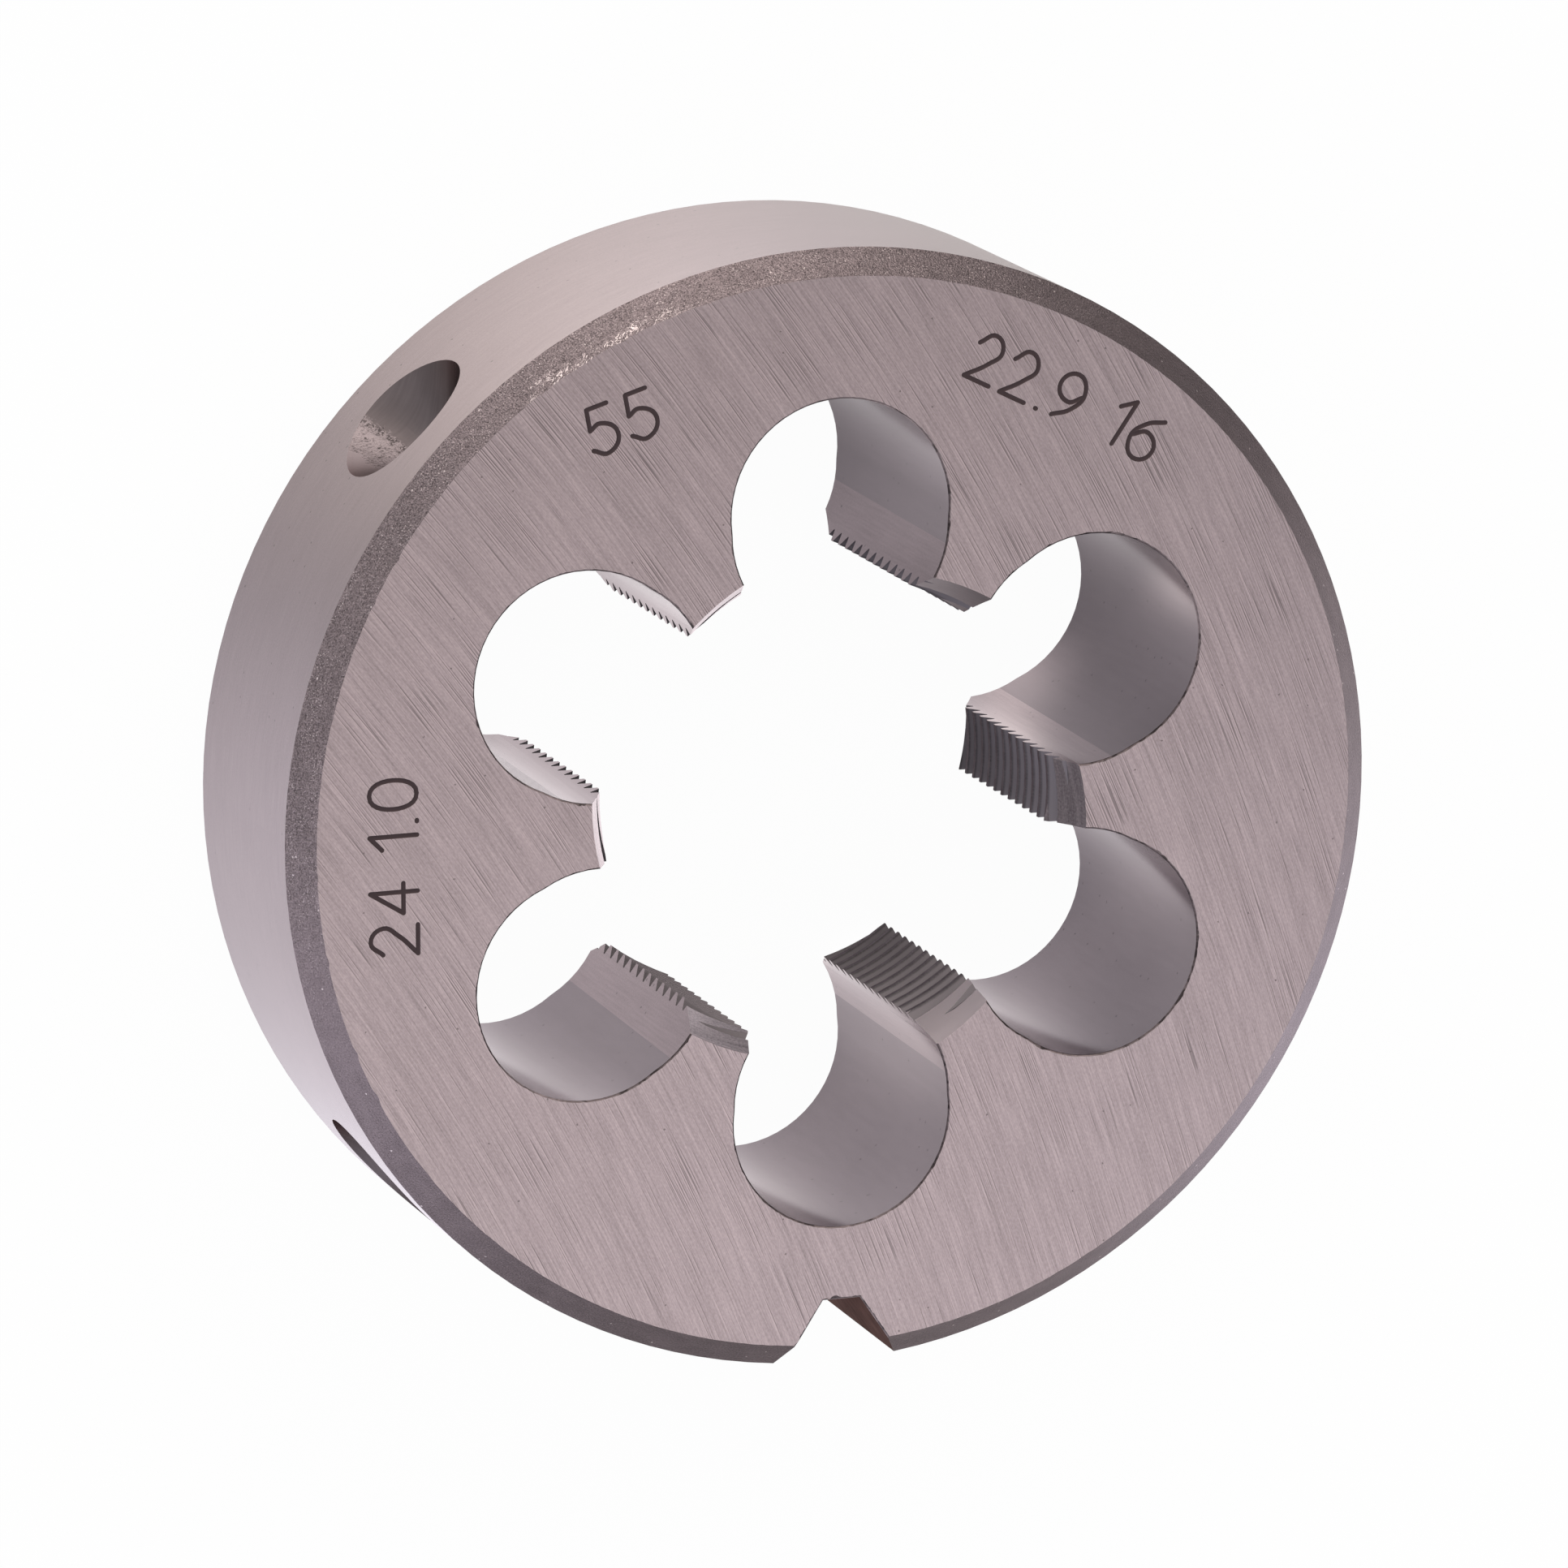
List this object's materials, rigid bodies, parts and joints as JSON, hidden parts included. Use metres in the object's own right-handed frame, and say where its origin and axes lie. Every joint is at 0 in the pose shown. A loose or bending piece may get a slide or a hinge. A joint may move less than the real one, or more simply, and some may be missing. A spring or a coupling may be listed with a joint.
{
  "type": "round threading die",
  "caption": "Thick steel disc with a threaded bore opened by chip holes into cutting lands, a V notch in the rim and cone seats for holder screws.",
  "frame": {"origin": "on the die's axis, in the plane of its back face", "axes": "+Z along the die's axis towards the marked face, -Y towards the adjusting notch"},
  "size_m": [0.055, 0.0548, 0.016],
  "materials": {
    "steel": "ground high speed steel, bright on the flat faces and the rim, dark in the thread"
  },
  "bodies": {
    "root": {"threading_die": "steel"}
  },
  "joints": []
}
